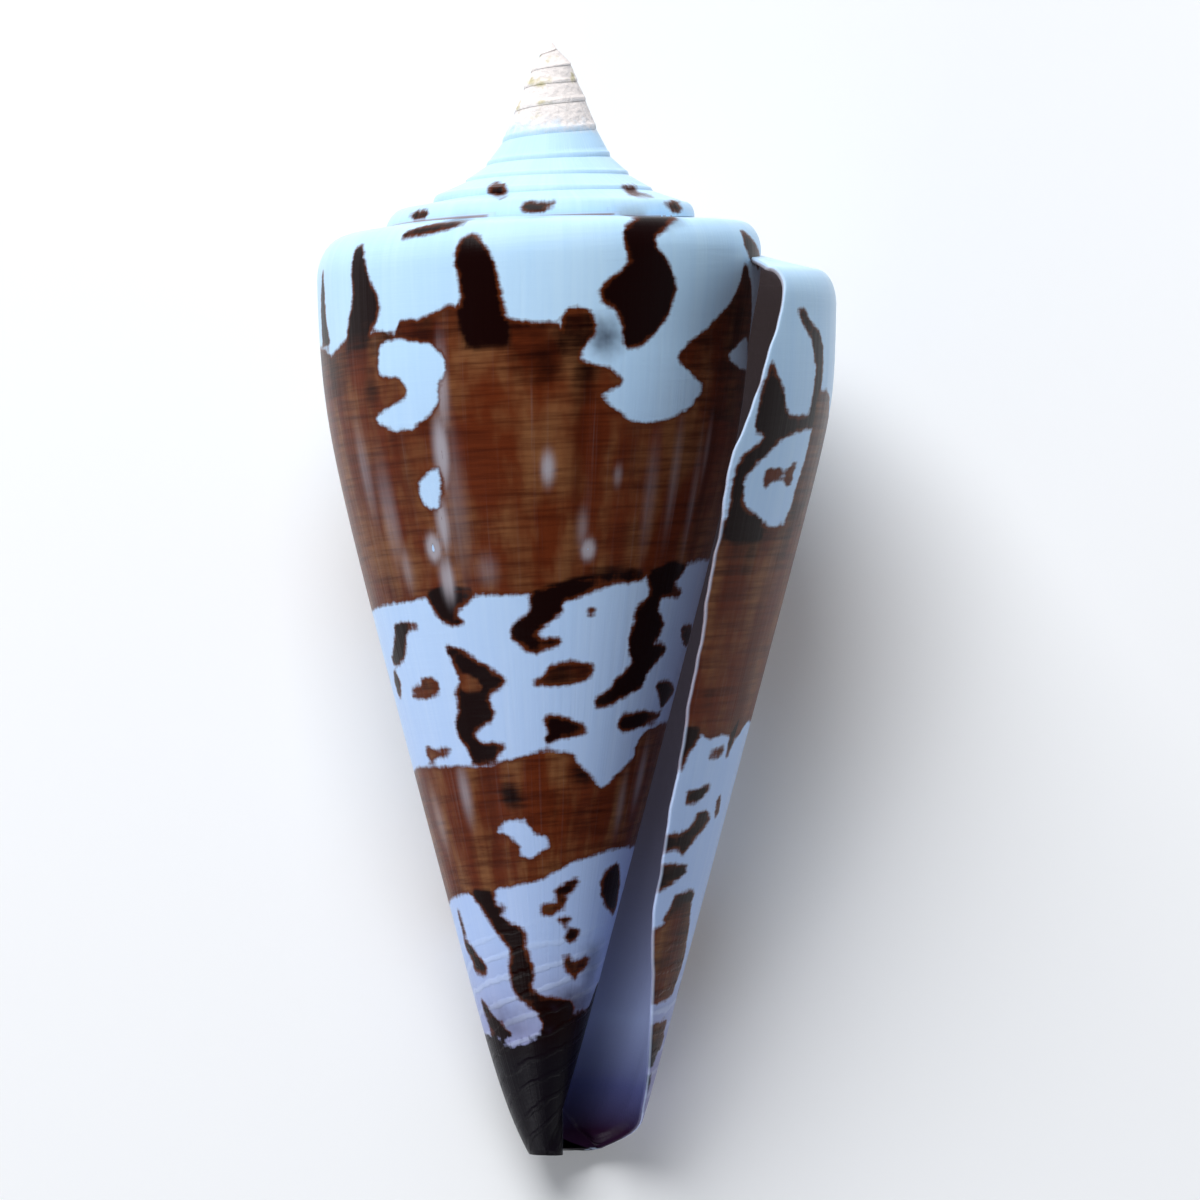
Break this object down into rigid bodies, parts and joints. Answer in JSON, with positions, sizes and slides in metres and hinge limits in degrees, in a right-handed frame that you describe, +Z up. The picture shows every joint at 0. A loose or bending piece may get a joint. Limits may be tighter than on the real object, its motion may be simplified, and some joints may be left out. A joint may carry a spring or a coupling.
{
  "type": "cone shell",
  "caption": "A cone shell lying on its back with its opening up, white with brown bands and dark blotches",
  "frame": {"origin": "under the middle of the shell, on the table it lies on", "axes": "+Z up, +Y toward the apex, +X toward the side of the opening"},
  "size_m": [0.035, 0.073, 0.0331],
  "materials": {
    "shell": "gloss"
  },
  "bodies": {
    "root": {"shell": "shell"}
  },
  "joints": []
}
